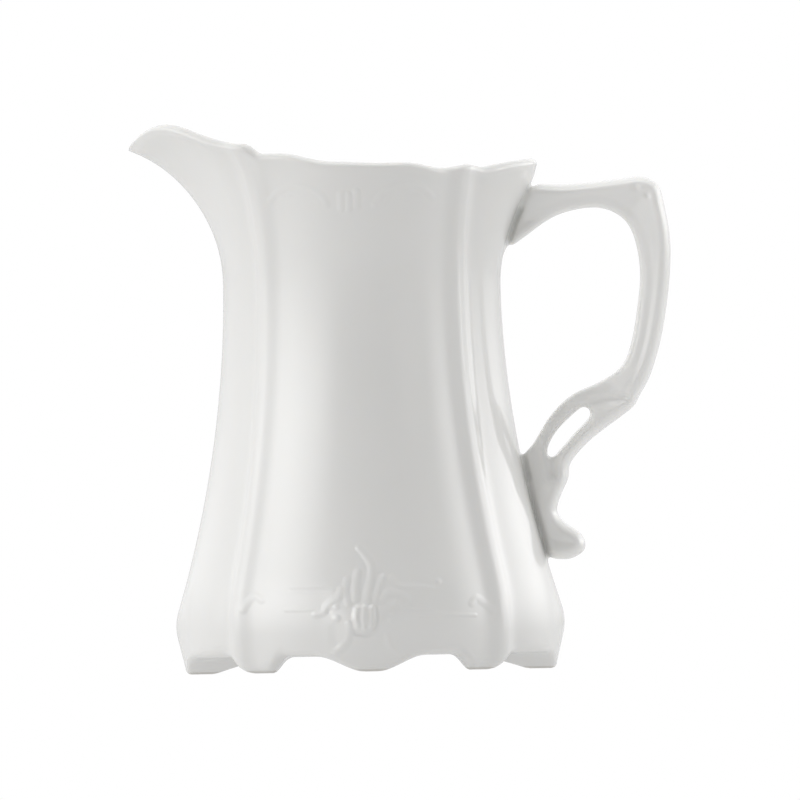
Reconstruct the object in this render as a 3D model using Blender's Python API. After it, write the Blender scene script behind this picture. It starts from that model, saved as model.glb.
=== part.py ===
"""A porcelain cream jug: a waisted round vessel with four ribs, a flared pouring lip and a scalloped
foot ring, and a separately cast scroll handle luted on with slip at two places.

Lengths are in millimetres and MM turns them into metres. The foot stands on z = 0, the spout points
along -X and the handle along +X. Sections are described by the angle from the spout, in degrees,
and both sides of the jug are alike.
"""

import math

import bmesh
import bpy

MM = 0.001

# Overall reach
SPOUT_REACH = 44.4
HANDLE_REACH = 58.6
AXIS_X = (SPOUT_REACH - HANDLE_REACH) / 2

# Vessel wall
WAIST_Z = 74.0
WAIST_RADIUS = 26.5
BULGE_Z = 9.5
BULGE_RADIUS = 37.45
FOOT_RADIUS = 35.2
FOOT_DRAFT = 0.24
WALL = 2.3
WAIST_OFFSET = -0.5

# Ribs at 45 degrees to the spout and handle
RIB_HEIGHT = 1.6
RIB_WIDTH = 2.5
PANEL_DROP = 1.6

# Flare above the waist
SIDE_FLARE = 2.0
SPOUT_FLARE = 15.4
SPOUT_CURL = 0.2
SPOUT_SPREAD = 28.0
SPOUT_PINCH = 0.3
HANDLE_FLARE = 5.2
HANDLE_SPREAD = 18.0

# Foot and floor: the underside is a shallow dome, cut by arches between the tabs and the ribs' toes
DOME_HEIGHT = 5.4
DOME_RADIUS = 29.8
ARCH_HEIGHT = 3.0
TAB_END = 2.0
ARCH_TOP_START = 17.5
SIDE_ARCH_TOP_END = 28.0
SIDE_TOE = 35.4
END_ARCH_TOP_END = 36.0
END_TOE = 48.0
TAB_EDGE = 1.2
TOE_EDGE = 2.4
TAB_BLEND = 1.6
PANEL_BLEND = 5.0
FLOOR_Z = 8.4
FLOOR_RADIUS = 22.0

# Mesh density
COLUMNS = 96
DOME_ROWS = 8
OUTER_ROWS = 18
INNER_ROWS = 8
RIM_ROWS = 4

# Handle and its slip joints
GAP = 0.3
SLIP = 0.8
HANDLE_HALF_WIDTH = 3.7
HANDLE_ROUNDING = 1.0
SLIP_HALF_WIDTH = 3.0
UPPER_ROOT = (81.2, 91.8)
LOWER_ROOT = (21.0, 41.6)


def mix(a, b, share):
    """The value a given share of the way from a to b."""
    return a + (b - a) * share


def step(start, end, value):
    """A smooth rise from 0 at start to 1 at end."""
    share = min(max((value - start) / (end - start), 0.0), 1.0)
    return share * share * (3 - 2 * share)


def bell(offset, spread):
    """A bell curve of height 1."""
    return math.exp(-0.5 * (offset / spread) ** 2)


def smooth_min(a, b, blend):
    """The lesser of a and b, with the corner between them rounded."""
    overlap = max(blend - abs(a - b), 0.0) / blend
    return min(a, b) - overlap * overlap * blend / 4


def rim_height(angle):
    """Height of the rim at an angle from the spout."""
    spout = 101.0 + 4.1 * math.exp(-(((angle - 20) / 13.2) ** 2))
    panel = 97.1 + 0.4 * step(100, 76, angle) + 1.7 * step(79, 58, angle) - 1.2 * step(108, 126, angle)
    handle = 97.4 - 1.5 * ((180 - angle) / 33) ** 2
    height = mix(spout, panel, step(46, 51, angle))
    height = mix(height, handle, step(143, 149, angle))
    return height + 0.65 * bell(angle - 137.5, 4.5) - 0.45 * math.sin(math.radians(angle))


def off_panel_angle(angle):
    """Angle from the middle of the nearest panel, which lies in line with the spout, the handle or a side."""
    return 45 - abs(angle % 90 - 45)


def plain_radius(angle, z):
    """Radius of the vessel before its ribs and panels are formed."""
    rise = max(WAIST_Z - z, 0.0) / (WAIST_Z - BULGE_Z)
    wall = WAIST_RADIUS + (BULGE_RADIUS - WAIST_RADIUS) * rise**1.93
    blend = mix(TAB_BLEND, PANEL_BLEND, step(4, 16, off_panel_angle(angle)))
    radius = smooth_min(wall, FOOT_RADIUS + FOOT_DRAFT * z, blend)
    up = max(z - WAIST_Z, 0.0) / (rim_height(angle) - WALL / 2 - WAIST_Z)
    radius += SIDE_FLARE * up**2.2
    radius += SPOUT_FLARE * bell(angle, SPOUT_SPREAD) * mix(up**2.2, up**10, SPOUT_CURL)
    radius += HANDLE_FLARE * bell(180 - angle, HANDLE_SPREAD) * smooth_min(1.25 * up**1.7, 1.0, 0.12)
    return radius


def rib_relief(angle, radius):
    """Height of the ribs over the plain radius, with the panels falling away beside them."""
    off_rib = abs(angle % 90 - 45)
    arc = math.radians(off_rib) * radius
    return RIB_HEIGHT * math.exp(-((arc / RIB_WIDTH) ** 2)) - PANEL_DROP * (1 - off_rib / 45) ** 3


def arch_height(angle, inward=1.0):
    """Height of the foot between the tabs and toes that stand on z = 0. The arches of the two side panels run
    straight in under the foot, so there the height also depends on the share of the foot's radius."""
    off_side = math.degrees(math.asin(inward * abs(math.cos(math.radians(angle)))))
    side = step(TAB_END, ARCH_TOP_START, off_side) * step(SIDE_TOE, SIDE_ARCH_TOP_END, off_side)
    off_end = 90 - abs(angle - 90)
    end = step(TAB_END, ARCH_TOP_START, off_end) * step(END_TOE, END_ARCH_TOP_END, off_end)
    return ARCH_HEIGHT * max(side, end)


def edge_radius(angle):
    """Rounding of the standing edge, which is softer at the toes below the ribs."""
    return mix(TAB_EDGE, TOE_EDGE, step(14, 34, off_panel_angle(angle)))


def outer_point(angle, z):
    """Radius and height of the outside of the vessel."""
    radius = plain_radius(angle, z)
    return radius + rib_relief(angle, radius), z


def foot_profile(angle):
    """Radius and height from the middle of the underside, out and round the standing edge."""
    arch = arch_height(angle)
    edge = edge_radius(angle)
    edge_r = outer_point(angle, arch + edge)[0] - edge
    points = []
    for row in range(DOME_ROWS + 1):
        inward = (row / DOME_ROWS) ** 0.6
        radius = edge_r * inward
        dome = DOME_HEIGHT * (1 - (radius / DOME_RADIUS) ** 2)
        points.append((radius, -smooth_min(-dome, -arch_height(angle, inward), 0.3)))
    for turn in (math.radians(30), math.radians(60)):
        points.append((edge_r + edge * math.sin(turn), arch + edge * (1 - math.cos(turn))))
    return points


def wall_profile(angle):
    """Radius and height up the outside, with closer rows at the foot and at the lip."""
    bottom = arch_height(angle) + edge_radius(angle)
    top = rim_height(angle) - WALL / 2
    points = []
    for row in range(OUTER_ROWS + 1):
        share = row / OUTER_ROWS
        rise = mix(share**1.5, share, share**2)
        points.append(outer_point(angle, mix(bottom, top, rise)))
    return points


def rim_profile(angle):
    """Radius and height over the rounded lip, from the outside to the inside."""
    centre_z = rim_height(angle) - WALL / 2
    centre_r = outer_point(angle, centre_z)[0] - WALL / 2
    turns = [math.pi * row / (RIM_ROWS + 1) for row in range(1, RIM_ROWS + 1)]
    return [(centre_r + WALL / 2 * math.cos(t), centre_z + WALL / 2 * math.sin(t)) for t in turns]


def inner_profile(angle):
    """Radius and height down the inside to the middle of the floor."""
    top = rim_height(angle) - WALL / 2
    lip = outer_point(angle, top)[0] - plain_radius(angle, top)
    corner_z = FLOOR_Z + 8
    points = []
    for row in range(INNER_ROWS + 1):
        share = row / INNER_ROWS
        z = mix(top, corner_z, share)
        points.append((plain_radius(angle, z) + lip * (1 - share) ** 4 - WALL, z))
    wall_r = points[-1][0]
    for turn in (30, 60):
        across = mix(wall_r, FLOOR_RADIUS, 1 - math.cos(math.radians(turn)))
        points.append((across, corner_z - 8 * math.sin(math.radians(turn))))
    return points + [(FLOOR_RADIUS, FLOOR_Z), (0, FLOOR_Z)]


def vessel_point(angle, radius, z):
    """Place a point of the section: shifted at the waist, and pinched in towards the spout's tip."""
    turn = math.radians(angle)
    reach = max(radius - WAIST_RADIUS - SIDE_FLARE, 0.0) / SPOUT_FLARE
    pinch = 1 - SPOUT_PINCH * bell(angle, SPOUT_SPREAD) * reach * step(WAIST_Z, WAIST_Z + 10, z)
    x = -radius * math.cos(turn) + WAIST_OFFSET * step(0, WAIST_Z, z)
    y = -radius * math.sin(turn) * pinch
    return x, y, z


def wall_x(z):
    """Distance of the outside of the wall from the axis below the handle."""
    return vessel_point(180, *outer_point(180, z))[0]


def material(name, colour, roughness):
    """A Principled material for one sub-part."""
    made = bpy.data.materials.new(name)
    made.use_nodes = True
    shader = made.node_tree.nodes["Principled BSDF"]
    shader.inputs["Base Color"].default_value = (*colour, 1)
    shader.inputs["Roughness"].default_value = roughness
    made.diffuse_color = (*colour, 1)
    return made


def add_object(name, data, collection, look):
    """Add a mesh or curve as a named sub-part, standing in the shared frame."""
    made = bpy.data.objects.new(name, data)
    data.materials.append(look)
    collection.objects.link(made)
    made.location.x = AXIS_X * MM
    return made


def jug_body(collection):
    """The vessel: a grid wrapped round the section from the underside, over the rim, to the floor."""
    half = COLUMNS // 2
    profiles = []
    for column in range(half + 1):
        angle = 180 * column / half
        angle += 2.8 * math.sin(math.radians(4 * angle))
        points = foot_profile(angle) + wall_profile(angle) + rim_profile(angle) + inner_profile(angle)
        profiles.append([vessel_point(angle, *point) for point in points])
    rows = len(profiles[0]) - 1

    mesh = bmesh.new()
    bmesh.ops.create_grid(mesh, x_segments=COLUMNS, y_segments=rows, size=1)
    for vertex in mesh.verts:
        column = round((vertex.co.x + 1) / 2 * COLUMNS)
        row = round((vertex.co.y + 1) / 2 * rows)
        x, y, z = profiles[min(column, COLUMNS - column)][row]
        side = 1 if column <= half else -1
        vertex.co = (x * MM, y * side * MM, z * MM)
    bmesh.ops.remove_doubles(mesh, verts=mesh.verts, dist=1e-6)
    bmesh.ops.recalc_face_normals(mesh, faces=mesh.faces)

    data = bpy.data.meshes.new("jug_body")
    mesh.to_mesh(data)
    data.shade_smooth()
    mesh.free()
    return add_object("jug_body", data, collection, material("glazed_porcelain", (0.86, 0.86, 0.83), 0.12))


def plate(name, outlines, half_width, rounding, collection, look):
    """A rounded plate in the XZ plane: each outline is a list of (x, z, sharp) points."""
    data = bpy.data.curves.new(name, "CURVE")
    data.dimensions = "2D"
    data.fill_mode = "BOTH"
    data.resolution_u = 3
    for outline in outlines:
        spline = data.splines.new("BEZIER")
        spline.bezier_points.add(len(outline) - 1)
        spline.use_cyclic_u = True
        for point, (x, z, sharp) in zip(spline.bezier_points, outline):
            point.co = (x * MM, z * MM, 0)
            point.handle_left_type = "VECTOR" if sharp else "AUTO"
            point.handle_right_type = point.handle_left_type
    data.extrude = (half_width - rounding) * MM
    data.bevel_depth = rounding * MM
    data.bevel_resolution = 2
    data.offset = -rounding * MM
    made = add_object(name, data, collection, look)
    made.rotation_euler.x = math.radians(90)
    return made


def smooth(points):
    """Mark the points of a curved stretch."""
    return [(x, z, False) for x, z in points]


def along_wall(start_z, end_z, clearance, steps=4):
    """Points that follow the outside of the wall at a set clearance."""
    heights = [mix(start_z, end_z, i / steps) for i in range(steps + 1)]
    return [(wall_x(z) + clearance, z, True) for z in heights]


def handle(collection):
    """The scroll handle: arm, thumb corner, bar, two lower strands with a slot, and ball tail."""
    top_edge = smooth([(38.2, 92.3), (44.0, 92.7), (50.2, 93.4), (53.6, 93.6), (56.5, 91.8)])
    bar_edge = smooth([(57.6, 87.8), (58.5, 82.2), (58.5, 76.5), (57.8, 69.9), (56.4, 62.3), (54.3, 55.6)])
    notch = smooth([(51.5, 50.4), (48.7, 47.9), (42.6, 43.4), (38.9, 39.1), (37.8, 34.7)])
    tail = smooth([(36.0, 31.0), (38.7, 26.6), (41.1, 23.9), (38.7, 20.9)])
    lower = along_wall(LOWER_ROOT[0], LOWER_ROOT[1], SLIP + 2 * GAP)
    strand = smooth([(32.2, 42.9), (33.9, 46.4), (37.0, 50.4), (42.0, 53.4), (47.3, 55.9), (50.0, 59.1)])
    loop = smooth([(51.9, 67.7), (52.7, 77.2), (51.4, 82.8), (48.6, 86.4), (43.8, 87.8), (36.9, 86.4)])
    upper = along_wall(UPPER_ROOT[0], UPPER_ROOT[1], SLIP + 2 * GAP)
    outline = top_edge + bar_edge + notch + tail + lower + strand + loop + [(32.0, 83.4, True)] + upper
    slot = smooth([(42.7, 48.7), (41.1, 46.0), (37.1, 41.8), (34.9, 40.1), (34.6, 42.8), (38.2, 47.4), (41.7, 49.7)])
    look = material("handle_porcelain", (0.85, 0.85, 0.82), 0.12)
    return plate("handle", [outline, slot], HANDLE_HALF_WIDTH, HANDLE_ROUNDING, collection, look)


def slip_joint(name, root, collection):
    """A thin pad of fired slip between the wall and a root of the handle."""
    inner = along_wall(root[0] + 0.4, root[1] - 0.4, GAP)
    outer = along_wall(root[1] - 0.4, root[0] + 0.4, GAP + SLIP)
    look = material(name + "_porcelain", (0.84, 0.84, 0.81), 0.14)
    return plate(name, [inner + outer], SLIP_HALF_WIDTH, 0.15, collection, look)


def build():
    """Clear the scene and build every sub-part."""
    for old in list(bpy.data.objects):
        bpy.data.objects.remove(old)
    collection = bpy.data.collections.new("porcelain_cream_jug")
    bpy.context.scene.collection.children.link(collection)
    jug_body(collection)
    handle(collection)
    slip_joint("upper_slip_joint", UPPER_ROOT, collection)
    slip_joint("lower_slip_joint", LOWER_ROOT, collection)


build()
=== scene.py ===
"""Looks of the porcelain cream jug: the moulded body with its relief, the scroll handle luted on to it,
a glossy glaze over white porcelain, soft studio light and a level camera.

Shape functions work in millimetres from the vessel's axis, and MM turns them into metres. An angle is
measured in degrees from the spout, which points along -X; the handle points along +X.
"""

import math

import bmesh
import bpy
import numpy as np
from mathutils import Matrix, Vector


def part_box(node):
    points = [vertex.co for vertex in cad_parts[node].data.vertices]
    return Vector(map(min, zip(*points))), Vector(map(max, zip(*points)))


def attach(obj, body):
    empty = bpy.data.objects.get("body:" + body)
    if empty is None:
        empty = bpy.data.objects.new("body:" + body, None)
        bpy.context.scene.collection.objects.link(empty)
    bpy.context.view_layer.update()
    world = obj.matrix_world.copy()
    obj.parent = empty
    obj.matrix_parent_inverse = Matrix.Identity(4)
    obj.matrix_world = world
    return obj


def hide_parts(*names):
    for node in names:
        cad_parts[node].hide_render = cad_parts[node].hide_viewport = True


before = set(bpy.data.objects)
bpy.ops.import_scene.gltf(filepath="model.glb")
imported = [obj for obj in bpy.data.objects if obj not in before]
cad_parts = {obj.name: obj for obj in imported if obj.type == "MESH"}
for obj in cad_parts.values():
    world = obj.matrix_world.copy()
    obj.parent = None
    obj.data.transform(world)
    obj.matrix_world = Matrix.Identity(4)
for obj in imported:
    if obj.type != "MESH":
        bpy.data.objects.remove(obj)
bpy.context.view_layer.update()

MM = 0.001

# Vessel wall, as in the CAD part
SPOUT_REACH = 44.4
WAIST_Z = 74.0
WAIST_RADIUS = 26.5
BULGE_Z = 9.5
BULGE_RADIUS = 37.45
FOOT_RADIUS = 35.2
FOOT_DRAFT = 0.24
WALL = 2.3
WAIST_OFFSET = -0.5
RIB_HEIGHT = 1.6
RIB_WIDTH = 2.5
PANEL_DROP = 1.6
SIDE_FLARE = 2.0
SPOUT_FLARE = 15.4
SPOUT_CURL = 0.2
SPOUT_SPREAD = 28.0
SPOUT_PINCH = 0.3
HANDLE_FLARE = 5.2
HANDLE_SPREAD = 18.0
DOME_HEIGHT = 5.4
DOME_RADIUS = 29.8
ARCH_HEIGHT = 3.0
TAB_END = 2.0
ARCH_TOP_START = 17.5
SIDE_ARCH_TOP_END = 28.0
SIDE_TOE = 35.4
END_ARCH_TOP_END = 36.0
END_TOE = 48.0
TAB_EDGE = 1.2
TOE_EDGE = 2.4
TAB_BLEND = 1.6
PANEL_BLEND = 5.0
FLOOR_Z = 8.4
FLOOR_RADIUS = 22.0
FLOOR_ROUND = 8.0
LIP_BEAD = 0.18
AXIS_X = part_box("jug_body")[0].x / MM + SPOUT_REACH

# Body mesh, which is finer near the ornament
COLUMNS = 240
RELIEF_CUTS = 4
RELIEF_MARGIN = 0.9
RELIEF_FROM_Y = 9.0

# Handle
SPINE_HALF_WIDTH = 3.8
SPINE_ROUND = 2.4
INNER_ROUND = 0.9
TAIL_ROUND = 2.8
HANDLE_TAPER = 0.34
HANDLE_PITCH = 0.26
HANDLE_DEPTH_IN_WALL = 0.6
ROOT_FILLET = 0.5
ROOT_NECK = 0.6
SKIRT_DEPTH = 0.02
UPPER_ROOT = (76.0, 92.5)
LOWER_ROOT = (18.5, 41.0)
FIELD_X = (23.5, 60.0)
FIELD_Z = (16.0, 96.0)
FIELD_MARGIN = 1.5
SMOOTHING_PASSES = 3

# Studio
CAMERA_DISTANCE = 6.0
CAMERA_HEIGHT = -0.005
CAMERA_ROLL = 1.05
DARK_SIDE = 13.0
VIEW_CENTRE_X = -0.0007
VIEW_CENTRE_Z = 0.0517
VIEW_WIDTH = 0.1528
SENSOR = 36.0

# Broad soft windows of the room: azimuth from the camera's side towards +X, edge (as a cosine), strength
WINDOWS = [(-62.5, 0.7, 2.15), (104.0, 0.68, 1.6), (42.0, 0.92, 0.55)]
# Brightness that the room fades to near the floor
HORIZON = 0.6


def mix(a, b, share):
    """The value a given share of the way from a to b."""
    return a + (b - a) * share


def step(start, end, value):
    """A smooth rise from 0 at start to 1 at end."""
    share = np.clip((value - start) / (end - start), 0.0, 1.0)
    return share * share * (3 - 2 * share)


def bell(offset, spread):
    """A bell curve of height 1."""
    return np.exp(-0.5 * (offset / spread) ** 2)


def smooth_min(a, b, blend):
    """The lesser of a and b, with the corner between them rounded."""
    overlap = np.maximum(blend - np.abs(a - b), 0.0) / blend
    return np.minimum(a, b) - overlap * overlap * blend / 4


# ---------------------------------------------------------------- strokes of relief


def smooth_path(points, closed=False, steps=6):
    """Points along a smooth curve through the given ones."""
    knots = np.array(points, float)
    if closed:
        knots = np.vstack([knots[-1:], knots, knots[:2]])
    else:
        knots = np.vstack([2 * knots[:1] - knots[1:2], knots, 2 * knots[-1:] - knots[-2:-1]])
    pieces = []
    for before, start, end, after in zip(knots, knots[1:], knots[2:], knots[3:]):
        for share in np.arange(steps) / steps:
            leave = (end - before) / 2
            arrive = (after - start) / 2
            pieces.append(
                (2 * share**3 - 3 * share**2 + 1) * start
                + (share**3 - 2 * share**2 + share) * leave
                + (3 * share**2 - 2 * share**3) * end
                + (share**3 - share**2) * arrive
            )
    if not closed:
        pieces.append(knots[-2])
    return np.array(pieces)


def path_distance(x, z, path, widths=(1.0, 1.0)):
    """Distance from each place to a path, over a width that changes evenly along it."""
    nearest = np.full(x.shape, np.inf)
    sizes = np.linspace(widths[0], widths[1], len(path))
    for start, end, size, next_size in zip(path, path[1:], sizes, sizes[1:]):
        along = end - start
        share = ((x - start[0]) * along[0] + (z - start[1]) * along[1]) / max(along @ along, 1e-9)
        share = np.clip(share, 0.0, 1.0)
        away = np.hypot(x - start[0] - share * along[0], z - start[1] - share * along[1])
        nearest = np.minimum(nearest, away / mix(size, next_size, share))
    return nearest


def relief(x, z, strokes):
    """Height that a set of strokes adds to a surface seen from the side. A negative height is sunk."""
    raised = np.zeros(x.shape)
    sunk = np.zeros(x.shape)
    for points, widths, height in strokes:
        low = np.min(points, axis=0) - max(widths) - 0.1
        high = np.max(points, axis=0) + max(widths) + 0.1
        near = (x > low[0]) & (x < high[0]) & (z > low[1]) & (z < high[1])
        path = smooth_path(points)
        across = np.minimum(path_distance(x[near], z[near], path, widths), 1.0)
        shape = height * (1 - across**2) ** 2
        raised[near] = np.maximum(raised[near], shape)
        sunk[near] = np.minimum(sunk[near], shape)
    return raised + sunk


def dot(x, z, radius, height):
    """A round boss as a stroke that hardly moves."""
    return [(x - 0.01, z), (x + 0.01, z)], (radius, radius), height


# Moulded ornament at the foot of the front and back panels: a ribbed boss below a plume, with scrolls
# and fine lines beside it and a shield below
FOOT_RELIEF = [
    ([(-1.1, 9.5), (-1.1, 11.0)], (2.88, 2.76), 0.39),
    ([(-2.4, 11.8), (-2.6, 10.2), (-2.3, 8.6)], (1.1, 1.1), 0.44),
    ([(-1.1, 12.1), (-1.2, 10.2), (-1.2, 8.4)], (1.0, 1.0), 0.47),
    ([(0.2, 11.8), (0.3, 10.2), (0.1, 8.6)], (1.1, 1.1), 0.42),
    ([(1.3, 12.0), (1.5, 10.0), (0.9, 8.0), (-0.8, 7.1), (-2.6, 7.3)], (0.84, 0.84), -0.16),
    ([(-0.7, 13.2), (-0.1, 16.0), (0.4, 19.7), (-0.9, 22.1), (-2.1, 23.5)], (1.32, 0.72), 0.23),
    ([(-2.7, 13.7), (-2.7, 16.5), (-2.3, 18.8)], (1.2, 1.08), 0.19),
    ([(-4.1, 13.1), (-4.7, 15.3), (-4.3, 17.3)], (1.08, 1.08), 0.14),
    ([(1.1, 13.6), (1.7, 15.8), (2.5, 17.7)], (1.08, 0.96), 0.17),
    dot(2.1, 18.6, 0.8, -0.08),
    (
        [(-10.4, 10.9), (-8.9, 11.4), (-8.2, 12.5), (-7.1, 13.5), (-5.9, 14.2), (-5.4, 15.5)],
        (0.96, 1.2),
        0.16,
    ),
    dot(-7.9, 11.5, 0.8, -0.11),
    dot(-6.4, 10.1, 1.03, 0.2),
    dot(-6.5, 12.3, 0.92, 0.12),
    ([(-15.0, 15.6), (-12.5, 15.5), (-6.9, 15.6)], (0.6, 0.72), 0.07),
    ([(-16.0, 11.9), (-13.0, 11.9), (-9.6, 12.0)], (0.6, 0.6), 0.05),
    ([(4.1, 17.6), (4.9, 16.6), (6.0, 16.1), (8.9, 16.0), (11.9, 15.7)], (0.96, 0.6), 0.12),
    dot(13.1, 16.8, 0.8, 0.16),
    ([(2.2, 13.6), (3.3, 14.7), (5.2, 14.7), (7.2, 13.7)], (1.32, 0.96), 0.13),
    ([(4.8, 12.5), (5.8, 11.5), (7.4, 10.9), (11.2, 10.7), (19.9, 10.3)], (1.08, 0.54), 0.12),
    ([(8.1, 12.2), (9.6, 12.3), (11.2, 11.9)], (0.72, 0.48), 0.07),
    dot(4, 10.1, 1.15, 0.19),
    ([(-4.1, 9.0), (-4.1, 6.8), (-4.9, 5.2), (-6.8, 3.5)], (0.96, 1.08), 0.16),
    ([(-6.7, 7.9), (-6.7, 5.7)], (1.68, 1.56), -0.14),
    ([(3.1, 6.7), (3.8, 4.6), (5.7, 3.1)], (0.96, 1.08), 0.11),
    ([(-2.9, 6.4), (-0.5, 6.2), (1.9, 6.4)], (0.72, 0.72), 0.05),
    ([(-24.2, 12.1), (-23.1, 13.7), (-21.8, 14.7), (-20.6, 13.9)], (1.08, 0.96), 0.11),
    ([(23.2, 11.3), (21.6, 12.7), (20.2, 13.5), (19.4, 12.5)], (1.08, 0.96), 0.11),
]

# Moulded ornament below the rim of the same panels: three lobes between two facing arches
RIM_RELIEF = [
    ([(-4.1, 88.2), (-4.1, 90.7)], (1.08, 1.08), 0.14),
    ([(-2.7, 88.0), (-2.7, 90.5)], (1.08, 1.08), 0.16),
    ([(-1.2, 88.5), (-1.2, 91.1)], (1.08, 1.08), 0.14),
    (
        [(2.7, 89.2), (3.7, 90.5), (6.5, 92.2), (9.2, 92.5), (11.5, 91.7), (13.3, 90.0)],
        (1.08, 0.84),
        0.12,
    ),
    ([(3.9, 88.9), (5.4, 90.6), (8.2, 91.3), (11.0, 90.6)], (0.72, 0.6), 0.06),
    dot(2.4, 88.7, 1.03, 0.16),
    (
        [(-7.0, 88.9), (-8.2, 90.7), (-10.9, 92.2), (-13.6, 92.5), (-16.0, 91.5), (-17.6, 90.0)],
        (1.08, 0.84),
        0.12,
    ),
    ([(-8.2, 88.9), (-9.6, 90.6), (-12.4, 91.3), (-15.2, 90.5)], (0.72, 0.6), 0.06),
]
BODY_RELIEF = FOOT_RELIEF + RIM_RELIEF


# ---------------------------------------------------------------- vessel


def rim_height(angle):
    """Height of the rim at an angle from the spout."""
    spout = 101.0 + 4.1 * np.exp(-(((angle - 20) / 13.2) ** 2))
    panel = 97.1 + 0.4 * step(100, 76, angle) + 1.7 * step(79, 58, angle) - 1.2 * step(108, 126, angle)
    handle = 97.4 - 1.5 * ((180 - angle) / 33) ** 2
    height = mix(spout, panel, step(46, 51, angle))
    height = mix(height, handle, step(143, 149, angle))
    return height + 0.65 * bell(angle - 137.5, 4.5) - 0.45 * np.sin(np.radians(angle))


def off_panel_angle(angle):
    """Angle from the middle of the nearest panel, which lies in line with the spout, the handle or a side."""
    return 45 - np.abs(angle % 90 - 45)


def plain_radius(angle, z):
    """Radius of the vessel before its ribs and panels are formed."""
    rise = np.maximum(WAIST_Z - z, 0.0) / (WAIST_Z - BULGE_Z)
    wall = WAIST_RADIUS + (BULGE_RADIUS - WAIST_RADIUS) * rise**1.93
    blend = mix(TAB_BLEND, PANEL_BLEND, step(4, 16, off_panel_angle(angle)))
    radius = smooth_min(wall, FOOT_RADIUS + FOOT_DRAFT * z, blend)
    up = np.maximum(z - WAIST_Z, 0.0) / (rim_height(angle) - WALL / 2 - WAIST_Z)
    radius += SIDE_FLARE * up**2.2
    radius += SPOUT_FLARE * bell(angle, SPOUT_SPREAD) * mix(up**2.2, up**10, SPOUT_CURL)
    radius += HANDLE_FLARE * bell(180 - angle, HANDLE_SPREAD) * smooth_min(1.25 * up**1.7, 1.0, 0.12)
    return radius


def rib_relief(angle, radius):
    """Height of the ribs over the plain radius, with the panels falling away beside them."""
    off_rib = np.abs(angle % 90 - 45)
    arc = np.radians(off_rib) * radius
    return RIB_HEIGHT * np.exp(-((arc / RIB_WIDTH) ** 2)) - PANEL_DROP * (1 - off_rib / 45) ** 3


def arch_height(angle, inward=1.0):
    """Height of the foot between the tabs and toes that stand on z = 0. The arches of the two side panels run
    straight in under the foot, so there the height also depends on the share of the foot's radius."""
    off_side = np.degrees(np.arcsin(inward * np.abs(np.cos(np.radians(angle)))))
    side = step(TAB_END, ARCH_TOP_START, off_side) * step(SIDE_TOE, SIDE_ARCH_TOP_END, off_side)
    off_end = 90 - np.abs(angle - 90)
    end = step(TAB_END, ARCH_TOP_START, off_end) * step(END_TOE, END_ARCH_TOP_END, off_end)
    return ARCH_HEIGHT * np.maximum(side, end)


def edge_radius(angle):
    """Rounding of the standing edge, which is softer at the toes below the ribs."""
    return mix(TAB_EDGE, TOE_EDGE, step(14, 34, off_panel_angle(angle)))


def outer_radius(angle, z):
    """Radius of the outside of the vessel, without its ornament."""
    radius = plain_radius(angle, z)
    return radius + rib_relief(angle, radius)


def placed(angle, radius, z):
    """Place a point of the section: shifted at the waist, and pinched in towards the spout's tip."""
    turn = np.radians(angle)
    reach = np.maximum(radius - WAIST_RADIUS - SIDE_FLARE, 0.0) / SPOUT_FLARE
    pinch = 1 - SPOUT_PINCH * bell(angle, SPOUT_SPREAD) * reach * step(WAIST_Z, WAIST_Z + 10, z)
    x = -radius * np.cos(turn) + WAIST_OFFSET * step(0, WAIST_Z, z)
    return x, -radius * np.sin(turn) * pinch, z


def underside(angle, share):
    """From the middle of the underside to the standing edge: a shallow dome cut by the arches."""
    arch = arch_height(angle)
    edge = edge_radius(angle)
    inward = share**0.6
    radius = (outer_radius(angle, arch + edge) - edge) * inward
    dome = DOME_HEIGHT * (1 - (radius / DOME_RADIUS) ** 2)
    return radius, -smooth_min(-dome, -arch_height(angle, inward), 0.3)


def standing_edge(angle, share):
    """The quarter round outside the standing edge."""
    arch = arch_height(angle)
    edge = edge_radius(angle)
    turn = share * math.pi / 2
    centre = outer_radius(angle, arch + edge) - edge
    return centre + edge * np.sin(turn), arch + edge * (1 - np.cos(turn))


def outer_wall(angle, share):
    """The outside from the foot to the lip, with its ornament and a soft bead below the lip."""
    top = rim_height(angle) - WALL / 2
    z = mix(arch_height(angle) + edge_radius(angle), top, mix(share**1.5, share, share**2))
    radius = outer_radius(angle, z)
    x = placed(angle, radius, z)[0]
    facing = step(0.25, 0.45, np.sin(np.radians(angle)))
    radius += facing * relief(x, z, BODY_RELIEF) + LIP_BEAD * bell(z - top - 0.2, 0.9) * share
    return radius, z


def lip(angle, share):
    """Over the rounded lip, from the outside to the inside."""
    centre_z = rim_height(angle) - WALL / 2
    centre = outer_radius(angle, centre_z) - WALL / 2 + LIP_BEAD * bell(0.2, 0.9) * (1 - share)
    turn = share * math.pi
    return centre + WALL / 2 * np.cos(turn), centre_z + WALL / 2 * np.sin(turn)


def inner_wall(angle, share):
    """Down the inside to the corner of the floor."""
    top = rim_height(angle) - WALL / 2
    over = outer_radius(angle, top) - plain_radius(angle, top)
    z = mix(top, FLOOR_Z + FLOOR_ROUND, share)
    return plain_radius(angle, z) + over * (1 - share) ** 4 - WALL, z


def floor_corner(angle, share):
    """The round corner between the inside wall and the floor."""
    turn = share * math.pi / 2
    wall = inner_wall(angle, 1.0)[0]
    return mix(wall, FLOOR_RADIUS, 1 - np.cos(turn)), FLOOR_Z + FLOOR_ROUND - FLOOR_ROUND * np.sin(turn)


def floor_disc(angle, share):
    """The floor of the inside, to its middle."""
    return FLOOR_RADIUS * (1 - share), np.full(angle.shape, FLOOR_Z)


# Stretches of the section from the middle of the underside to the middle of the inside, with their rows
STRETCHES = [
    (underside, 22),
    (standing_edge, 6),
    (outer_wall, 92),
    (lip, 10),
    (inner_wall, 44),
    (floor_corner, 8),
    (floor_disc, 6),
]
ROWS = sum(rows for shape, rows in STRETCHES)


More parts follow.
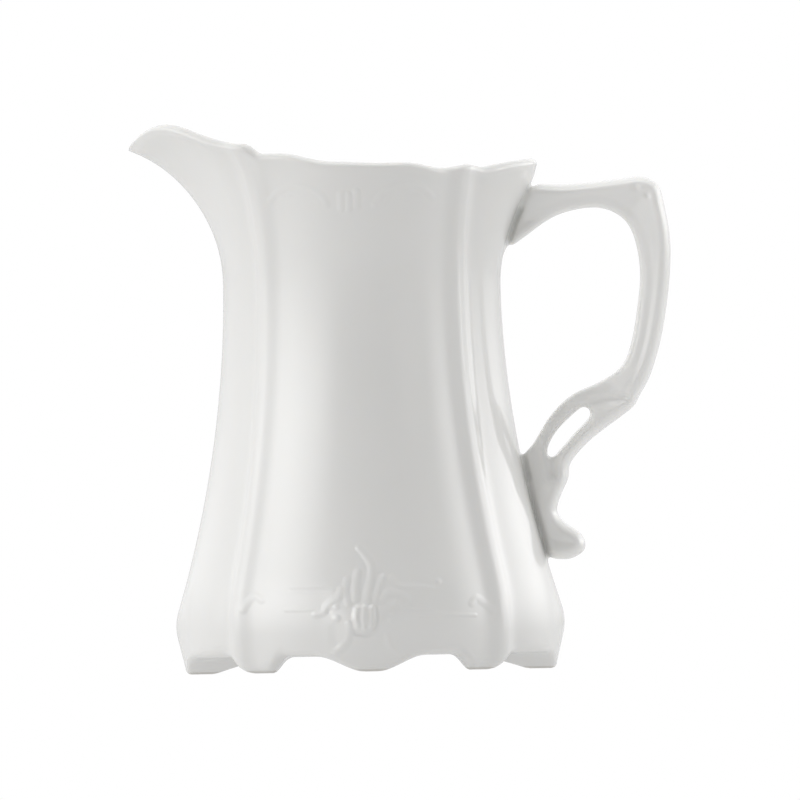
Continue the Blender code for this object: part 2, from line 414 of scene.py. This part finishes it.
def rows_before(stretch):
    """Rows of the section before a stretch."""
    shapes = [shape for shape, rows in STRETCHES]
    return sum(rows for shape, rows in STRETCHES[: shapes.index(stretch)])


def wrapped(across, up):
    """Places on the vessel for places on a flat grid that runs from -1 to 1 both ways."""
    turn = 180 * across
    turn = turn + 2.8 * np.sin(np.radians(4 * turn))
    angle = np.abs(turn)
    row = (up + 1) / 2 * ROWS
    radius = np.zeros(angle.shape)
    z = np.zeros(angle.shape)
    first = 0
    for shape, rows in STRETCHES:
        here = (row >= first - 1e-6) & (row <= first + rows + 1e-6)
        share = np.clip((row[here] - first) / rows, 0.0, 1.0)
        radius[here], z[here] = shape(angle[here], share)
        first += rows
    x, y, z = placed(angle, radius, z)
    return np.stack([x, np.where(turn < 0, -y, y), z], axis=1)


def refine_relief(mesh):
    """Divide the faces of the flat grid that the ornament will cover."""
    centres = np.array([face.calc_center_median()[:2] for face in mesh.faces])
    places = wrapped(centres[:, 0], centres[:, 1])
    row = (centres[:, 1] + 1) / 2 * ROWS
    outside = (row > rows_before(outer_wall)) & (row < rows_before(lip))
    outside &= np.abs(places[:, 1]) > RELIEF_FROM_Y
    near = np.zeros(len(centres), bool)
    for points, widths, height in BODY_RELIEF:
        reach = path_distance(places[outside, 0], places[outside, 2], smooth_path(points))
        near[outside] |= reach < max(widths) + RELIEF_MARGIN
    mesh.faces.ensure_lookup_table()
    edges = {edge for index in np.nonzero(near)[0] for edge in mesh.faces[index].edges}
    bmesh.ops.subdivide_edges(mesh, edges=list(edges), cuts=RELIEF_CUTS, use_grid_fill=True)


def add_piece(name, mesh, look, nodes):
    """Add a finished bmesh as a piece that stands for some CAD nodes and takes a slot's finish."""
    data = bpy.data.meshes.new(name)
    mesh.to_mesh(data)
    mesh.free()
    data.shade_smooth()
    data.materials.append(look)
    piece = bpy.data.objects.new(name, data)
    bpy.context.scene.collection.objects.link(piece)
    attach(piece, "root")
    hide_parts(*nodes)
    return piece


def jug_body(look):
    """The vessel as one closed skin: a flat grid, finer at the ornament, wrapped round the section."""
    mesh = bmesh.new()
    bmesh.ops.create_grid(mesh, x_segments=COLUMNS, y_segments=ROWS, size=1)
    refine_relief(mesh)
    flat = np.array([vertex.co[:2] for vertex in mesh.verts])
    places = (wrapped(flat[:, 0], flat[:, 1]) + [AXIS_X, 0, 0]) * MM
    for vertex, place in zip(mesh.verts, places):
        vertex.co = place
    bmesh.ops.remove_doubles(mesh, verts=mesh.verts, dist=1e-6)
    bmesh.ops.recalc_face_normals(mesh, faces=mesh.faces)
    return add_piece("glazed_body", mesh, look, ["jug_body"])


# ---------------------------------------------------------------- handle


def wall_line(start_z, end_z, clearance, points=5):
    """Points that follow the outside of the wall at a set clearance."""
    heights = np.linspace(start_z, end_z, points)
    reach = outer_radius(np.full(points, 180.0), heights) + WAIST_OFFSET * step(0, WAIST_Z, heights)
    return [(x + clearance, z) for x, z in zip(reach, heights)]


TOP_EDGE = [(33.2, 92.6), (38.2, 92.3), (44.0, 92.7), (50.2, 93.4), (53.6, 93.6), (56.5, 91.8)]
BAR_EDGE = [(57.6, 87.8), (58.5, 82.2), (58.5, 76.5), (57.8, 69.9), (56.4, 62.3), (54.3, 55.6), (52.2, 51.8)]
NOTCH = [(51.1, 49.8), (48.7, 47.9), (42.6, 43.4), (38.8, 39.2), (38.3, 36.2), (36.9, 33.2)]
TAIL = [(36.0, 30.1), (37.4, 27.8), (40.6, 25.5), (41.2, 22.6), (38.4, 20.8), (35.0, 20.7), (33.9, 18.9)]
STRAND = [(30.6, 41.8), (32.1, 43.6), (35.1, 48.3), (39.2, 52.1), (44.8, 54.6), (48.8, 57.4), (50.6, 61.4)]
LOOP = [
    (51.9, 67.7), (52.7, 75.6), (51.4, 82.8), (48.6, 86.4),
    (43.8, 87.8), (36.9, 86.4), (30.9, 82.5), (27.4, 79.8),
]
SLOT = [
    (42.8, 48.8), (42.0, 47.2), (39.8, 45.0), (37.0, 41.9), (35.3, 40.2),
    (34.3, 40.9), (34.8, 43.0), (36.5, 45.6), (39.3, 48.3), (41.4, 49.8),
]


def handle_outline():
    """The outline of the handle seen from the side, running on a little way into the wall at both roots."""
    lower = wall_line(LOWER_ROOT[0], LOWER_ROOT[1], -0.5)
    upper = wall_line(UPPER_ROOT[0], UPPER_ROOT[1], -1.6)
    return TOP_EDGE + BAR_EDGE + NOTCH + TAIL + lower + STRAND + LOOP + upper


def inside_path(x, z, path):
    """Whether each place is inside a closed path."""
    inside = np.zeros(x.shape, bool)
    for (x0, z0), (x1, z1) in zip(path, np.roll(path, -1, axis=0)):
        if z0 != z1:
            crosses = (z0 > z) != (z1 > z)
            inside ^= crosses & (x < x0 + (z - z0) * (x1 - x0) / (z1 - z0))
    return inside


def edge_distances(x, z):
    """Distances from the handle's outer edge and from its other edges, and whether each place is inside."""
    outline = smooth_path(handle_outline(), closed=True)
    slot = smooth_path(SLOT, closed=True)
    outer = path_distance(x, z, smooth_path(TOP_EDGE + BAR_EDGE + NOTCH + TAIL))
    inner = path_distance(x, z, np.vstack([slot, slot[:1]]))
    edges = np.minimum(inner, path_distance(x, z, np.vstack([outline, outline[:1]])))
    inner = np.minimum(inner, path_distance(x, z, smooth_path(STRAND + LOOP)))
    inside = inside_path(x, z, outline) & ~inside_path(x, z, slot)
    return outer, inner, np.where(inside, edges, -edges)


def softened(values, passes):
    """The values of a flat field with its creases rounded."""
    for _ in range(passes):
        for axis in (0, 1):
            padded = np.pad(values, [(1, 1) if a == axis else (0, 0) for a in (0, 1)], mode="edge")
            low = np.take(padded, range(values.shape[axis]), axis)
            high = np.take(padded, range(2, values.shape[axis] + 2), axis)
            values = (low + 2 * values + high) / 4
    return values


# Tooling on both faces of the handle
HANDLE_RELIEF = [
    dot(52.0, 91.5, 0.9, -0.5),
    dot(54.3, 90.2, 0.9, -0.5),
    dot(53.3, 91.4, 0.7, 0.3),
    ([(42.9, 50.1), (46.0, 51.0), (49.4, 51.2)], (1.8, 1.2), -0.7),
    ([(43.4, 48.0), (46.5, 48.8), (49.8, 50.0)], (1.3, 1.0), 0.2),
    ([(34.3, 42.6), (33.5, 40.2), (33.9, 36.9), (35.0, 35.2)], (0.6, 0.7), 0.4),
    ([(35.3, 39.8), (35.3, 37.8), (35.6, 36.2)], (1.1, 1.0), -0.8),
    dot(37.2, 36.3, 1.5, 0.35),
]


def handle_section(x, z):
    """Signed depth from the edge, rounding of the edge and half width of the handle, seen from the side."""
    outer, inner, depth = edge_distances(x, z)
    depth = softened(depth, 5)
    rounding = mix(INNER_ROUND, SPINE_ROUND, step(-1.0, 1.0, inner - outer))
    rounding = mix(TAIL_ROUND, rounding, step(27, 33, z))
    half = SPINE_HALF_WIDTH - HANDLE_TAPER * np.clip(outer - 1.0, 0.0, 6.0)
    half -= 0.1 * bell(outer - 2.6, 0.4)
    half -= 0.15 * bell(inner - 2.2, 0.4) * step(54, 60, z)
    half += relief(x, z, HANDLE_RELIEF)
    return depth, softened(rounding, 6), softened(half, 2)


def handle_field():
    """Samples of a field that is below zero inside the handle, with the low corner of its grid."""
    side = SPINE_HALF_WIDTH + FIELD_MARGIN
    low = np.array([FIELD_X[0], -side, FIELD_Z[0]])
    high = np.array([FIELD_X[1], side, FIELD_Z[1]])
    counts = np.ceil((high - low) / HANDLE_PITCH).astype(int)
    xs, ys, zs = (low[axis] + HANDLE_PITCH * np.arange(counts[axis]) for axis in range(3))
    depth, rounding, half = handle_section(*np.meshgrid(xs, zs, indexing="ij"))

    y = ys[None, :, None]
    inwards = (1 - np.minimum(depth / rounding, 1.0))[:, None, :]
    solid = rounding[:, None, :] * (np.sqrt(inwards**2 + (y / half[:, None, :]) ** 2) - 1)

    x, y, z = np.meshgrid(xs, ys, zs, indexing="ij")
    off_axis = x - WAIST_OFFSET * step(0, WAIST_Z, z)
    angle = np.degrees(np.arctan2(np.abs(y), -off_axis))
    above_wall = np.hypot(off_axis, y) - outer_radius(angle, z) + SKIRT_DEPTH
    solid += ROOT_NECK * bell(above_wall - 0.6, 0.5)
    joined = smooth_min(solid, above_wall, ROOT_FILLET)
    field = np.maximum(joined, np.maximum(-above_wall - HANDLE_DEPTH_IN_WALL, solid - ROOT_FILLET))
    return field, low


def surface_net(field):
    """Vertices (in grid steps) and outward-facing quads of the zero surface of a sampled field."""
    cells = tuple(size - 1 for size in field.shape)
    total = np.zeros(cells + (3,))
    count = np.zeros(cells)
    crossings = []
    for axis in range(3):
        turned = np.moveaxis(field, [axis, (axis + 1) % 3, (axis + 2) % 3], [0, 1, 2])
        low, high = turned[:-1], turned[1:]
        crossing = (low < 0) != (high < 0)
        share = np.where(crossing, low / np.where(crossing, low - high, 1.0), 0.0)
        turned_total = np.moveaxis(total, [axis, (axis + 1) % 3, (axis + 2) % 3], [0, 1, 2])
        turned_count = np.moveaxis(count, [axis, (axis + 1) % 3, (axis + 2) % 3], [0, 1, 2])
        for b in (0, 1):
            for c in (0, 1):
                window = (slice(None), slice(b, low.shape[1] - 1 + b), slice(c, low.shape[2] - 1 + c))
                turned_count += crossing[window]
                turned_total[..., axis] += share[window]
                turned_total[..., (axis + 1) % 3] += crossing[window] * b
                turned_total[..., (axis + 2) % 3] += crossing[window] * c
        crossings.append((crossing, low < 0))

    used = count > 0
    index = np.full(cells, -1)
    index[used] = np.arange(used.sum())
    points = np.argwhere(used) + total[used] / count[used][:, None]

    quads = []
    for axis, (crossing, starts_inside) in enumerate(crossings):
        turned_index = np.moveaxis(index, [axis, (axis + 1) % 3, (axis + 2) % 3], [0, 1, 2])
        inner = crossing[:, 1:-1, 1:-1]
        a, b, c = np.nonzero(inner)
        corners = [(b, c), (b + 1, c), (b + 1, c + 1), (b, c + 1)]
        ring = np.stack([turned_index[a, second, third] for second, third in corners], axis=1)
        outward = starts_inside[:, 1:-1, 1:-1][inner]
        quads.append(np.where(outward[:, None], ring, ring[:, ::-1]))
    return points, np.vstack(quads)


def scroll_handle(look):
    """The handle and its slip joints as one skin, flowing into the wall at both roots."""
    field, low = handle_field()
    points, quads = surface_net(field)
    points = (low + HANDLE_PITCH * points + [AXIS_X, 0, 0]) * MM
    data = bpy.data.meshes.new("handle_skin")
    data.from_pydata(points.tolist(), [], quads.tolist())
    mesh = bmesh.new()
    mesh.from_mesh(data)
    bpy.data.meshes.remove(data)
    axes = {"use_axis_x": True, "use_axis_y": True, "use_axis_z": True}
    for _ in range(SMOOTHING_PASSES):
        bmesh.ops.smooth_vert(mesh, verts=mesh.verts, factor=0.5, **axes)
    nodes = ["handle", "upper_slip_joint", "lower_slip_joint"]
    return add_piece("scroll_handle", mesh, look, nodes)


# ---------------------------------------------------------------- glaze


def node(tree, kind, settings=None, **inputs):
    """Add a shader node, set its properties, and set or link its inputs by name (spaces as underscores)."""
    made = tree.nodes.new(kind)
    for name, value in (settings or {}).items():
        setattr(made, name, value)
    for name, value in inputs.items():
        socket = made.inputs[int(name[1:])] if name[1:].isdigit() else made.inputs[name.replace("_", " ")]
        if isinstance(value, bpy.types.NodeSocket):
            tree.links.new(value, socket)
        else:
            socket.default_value = value
    return made


def colour_mix(tree, share, first, second):
    """A mix of two colours."""
    made = node(tree, "ShaderNodeMix", {"data_type": "RGBA"}, _0=share, _6=first, _7=second)
    return made.outputs[2]


def ramp(tree, value, start, end, low=0.0, high=1.0):
    """A value carried smoothly from one range to another."""
    settings = {"interpolation_type": "SMOOTHSTEP"}
    made = node(tree, "ShaderNodeMapRange", settings, _0=value, _1=start, _2=end, _3=low, _4=high)
    return made.outputs[0]


def glaze(name, tint):
    """White porcelain under a clear glaze, with painted shade darkening the hollows and crevices, and the
    glaze wiped off the standing edge.
    """
    look = bpy.data.materials.new(name)
    look.use_nodes = True
    tree = look.node_tree
    shader = tree.nodes["Principled BSDF"]
    place = node(tree, "ShaderNodeTexCoord").outputs["Object"]

    # Painted shade: the colour is darkened towards a grey where the AO node finds other surfaces close by, in
    # hollows, grooves and the crevices at the handle's roots.
    hollow = node(tree, "ShaderNodeAmbientOcclusion", {"samples": 16, "only_local": True}, Distance=2.2 * MM)
    painted_hollow_shade = ramp(tree, hollow.outputs["AO"], 0.8, 0.3)
    cloud = node(tree, "ShaderNodeTexNoise", Vector=place, Scale=45.0, Detail=3.0, Roughness=0.5)
    clouded = ramp(tree, cloud.outputs[0], 0.3, 0.7)
    bright = tuple(channel * 1.012 for channel in tint)
    hollow_shade_colour = (tint[0] * 0.80, tint[1] * 0.81, tint[2] * 0.80)
    colour = colour_mix(tree, clouded, (*tint, 1), (*bright, 1))
    colour = colour_mix(tree, painted_hollow_shade, colour, (*hollow_shade_colour, 1))

    speck = node(tree, "ShaderNodeTexVoronoi", Vector=place, Scale=210.0)
    rare = node(tree, "ShaderNodeMath", {"operation": "GREATER_THAN"}, _0=speck.outputs["Color"], _1=0.93)
    spot = ramp(tree, speck.outputs["Distance"], 0.035, 0.02)
    shown = node(tree, "ShaderNodeMath", {"operation": "MULTIPLY"}, _0=rare.outputs[0], _1=spot)
    faint = node(tree, "ShaderNodeMath", {"operation": "MULTIPLY"}, _0=shown.outputs[0], _1=0.25)
    colour = colour_mix(tree, faint.outputs[0], colour, (0.35, 0.31, 0.26, 1))

    height = node(tree, "ShaderNodeSeparateXYZ", Vector=place).outputs["Z"]
    bare = ramp(tree, height, 0.5 * MM, 0.3 * MM)
    colour = colour_mix(tree, bare, colour, (0.74, 0.725, 0.69, 1))
    coat = ramp(tree, bare, 0.0, 1.0, 1.0, 0.0)
    roughness = ramp(tree, bare, 0.0, 1.0, 0.32, 0.75)

    wave = node(tree, "ShaderNodeTexNoise", Vector=place, Scale=120.0, Detail=2.0, Roughness=0.45)
    skin = node(tree, "ShaderNodeBump", Strength=0.18, Distance=0.12 * MM, Height=wave.outputs[0])

    tree.links.new(colour, shader.inputs["Base Color"])
    tree.links.new(roughness, shader.inputs["Roughness"])
    tree.links.new(coat, shader.inputs["Coat Weight"])
    tree.links.new(skin.outputs[0], shader.inputs["Coat Normal"])
    shader.inputs["Coat Roughness"].default_value = 0.05
    shader.inputs["Coat IOR"].default_value = 1.5
    shader.inputs["Specular IOR Level"].default_value = 0.3
    shader.inputs["Subsurface Weight"].default_value = 0.12
    shader.inputs["Subsurface Radius"].default_value = (1.0, 0.9, 0.75)
    shader.inputs["Subsurface Scale"].default_value = 1.2 * MM
    look.diffuse_color = (*tint, 1)
    return look


# ---------------------------------------------------------------- studio


def studio_floor():
    """A pale floor that melts into the backdrop, and that is clear when seen from below."""
    mesh = bmesh.new()
    bmesh.ops.create_circle(mesh, cap_ends=True, segments=96, radius=3.0)
    data = bpy.data.meshes.new("studio_floor")
    mesh.to_mesh(data)
    mesh.free()
    floor = bpy.data.objects.new("studio_floor", data)
    floor.location.z = -0.02 * MM
    bpy.context.scene.collection.objects.link(floor)

    look = bpy.data.materials.new("pale_floor")
    look.use_nodes = True
    tree = look.node_tree
    tree.nodes.remove(tree.nodes["Principled BSDF"])
    path = node(tree, "ShaderNodeLightPath")
    matt = node(tree, "ShaderNodeBsdfDiffuse", Color=(0.25, 0.25, 0.25, 1))
    glow = ramp(tree, path.outputs["Is Camera Ray"], 0.0, 1.0, 0.5, 0.85)
    light = node(tree, "ShaderNodeEmission", Strength=glow)
    lit = node(tree, "ShaderNodeAddShader", _0=matt.outputs[0], _1=light.outputs[0])
    clear = node(tree, "ShaderNodeBsdfTransparent")
    behind = node(tree, "ShaderNodeNewGeometry").outputs["Backfacing"]
    both = node(tree, "ShaderNodeMixShader", _0=behind, _1=lit.outputs[0], _2=clear.outputs[0])
    tree.links.new(both.outputs[0], tree.nodes["Material Output"].inputs["Surface"])
    data.materials.append(look)


def facing(tree, direction, azimuth):
    """How squarely a direction faces an azimuth, counted from the camera's side towards +X."""
    turn = math.radians(azimuth)
    towards = (math.sin(turn), -math.cos(turn), 0)
    made = node(tree, "ShaderNodeVectorMath", {"operation": "DOT_PRODUCT"}, _0=direction, _1=towards)
    return made.outputs["Value"]


def studio_world():
    """A white backdrop for the camera, and for the glaze a room that is darker on the camera's side."""
    world = bpy.data.worlds.new("studio")
    world.use_nodes = True
    bpy.context.scene.world = world
    tree = world.node_tree
    place = node(tree, "ShaderNodeTexCoord").outputs["Generated"]
    light = ramp(tree, facing(tree, place, DARK_SIDE), 0.95, -0.3, 0.12, 1.05)
    for azimuth, edge, strength in WINDOWS:
        window = ramp(tree, facing(tree, place, azimuth), edge, 1.0, 0.0, strength)
        light = node(tree, "ShaderNodeMath", {"operation": "ADD"}, _0=light, _1=window).outputs[0]
    height = node(tree, "ShaderNodeSeparateXYZ", Vector=place).outputs["Z"]
    raised = ramp(tree, height, -0.1, 0.25)
    light = node(tree, "ShaderNodeMix", _0=raised, _2=HORIZON, _3=light).outputs[0]
    path = node(tree, "ShaderNodeLightPath")
    seen = node(tree, "ShaderNodeMix", _0=path.outputs["Is Camera Ray"], _2=light, _3=1.0)
    backdrop = tree.nodes["Background"]
    backdrop.inputs["Color"].default_value = (1, 1, 1, 1)
    tree.links.new(seen.outputs[0], backdrop.inputs["Strength"])


def softbox(name, azimuth, elevation, distance, size, power):
    """A soft rectangular light that faces the jug; azimuth is from the camera's side towards +X."""
    turn = math.radians(azimuth)
    lift = math.radians(elevation)
    away = Vector((math.sin(turn) * math.cos(lift), -math.cos(turn) * math.cos(lift), math.sin(lift)))
    light = bpy.data.lights.new(name, "AREA")
    light.shape = "RECTANGLE"
    light.size, light.size_y = size
    light.energy = power
    lamp = bpy.data.objects.new(name, light)
    lamp.location = Vector((0, 0, VIEW_CENTRE_Z)) + away * distance
    lamp.rotation_euler = away.to_track_quat("Z", "Y").to_euler()
    lamp.visible_camera = False
    bpy.context.scene.collection.objects.link(lamp)


def studio_camera():
    """A long lens, level with the foot, turned by a degree as the camera was held."""
    data = bpy.data.cameras.new("camera")
    data.sensor_width = SENSOR
    data.lens = SENSOR * CAMERA_DISTANCE / VIEW_WIDTH
    camera = bpy.data.objects.new("camera", data)
    bpy.context.scene.collection.objects.link(camera)
    place = Vector((VIEW_CENTRE_X, -CAMERA_DISTANCE, CAMERA_HEIGHT))
    aim = Vector((VIEW_CENTRE_X, 0, VIEW_CENTRE_Z)) - place
    turned = aim.to_track_quat("-Z", "Y").to_matrix().to_4x4()
    roll = Matrix.Rotation(math.radians(-CAMERA_ROLL), 4, "Z")
    camera.matrix_world = Matrix.Translation(place) @ turned @ roll
    bpy.context.scene.camera = camera


def build():
    """Make every piece, the studio and the camera."""
    jug_body(glaze("glazed_porcelain", (0.86, 0.856, 0.838)))
    # The handle is the same porcelain as the body, given a lighter tint as painted light to make up for the
    # light that the body keeps off it.
    scroll_handle(glaze("handle_glaze_painted_light", (0.925, 0.92, 0.9)))
    studio_floor()
    studio_world()
    softbox("right_strip", 88, 8, 1.2, (0.04, 1.2), 0.6)
    softbox("overhead", 10, 80, 1.2, (0.8, 0.8), 1.9)
    studio_camera()
    bpy.context.scene.view_settings.view_transform = "Standard"


build()
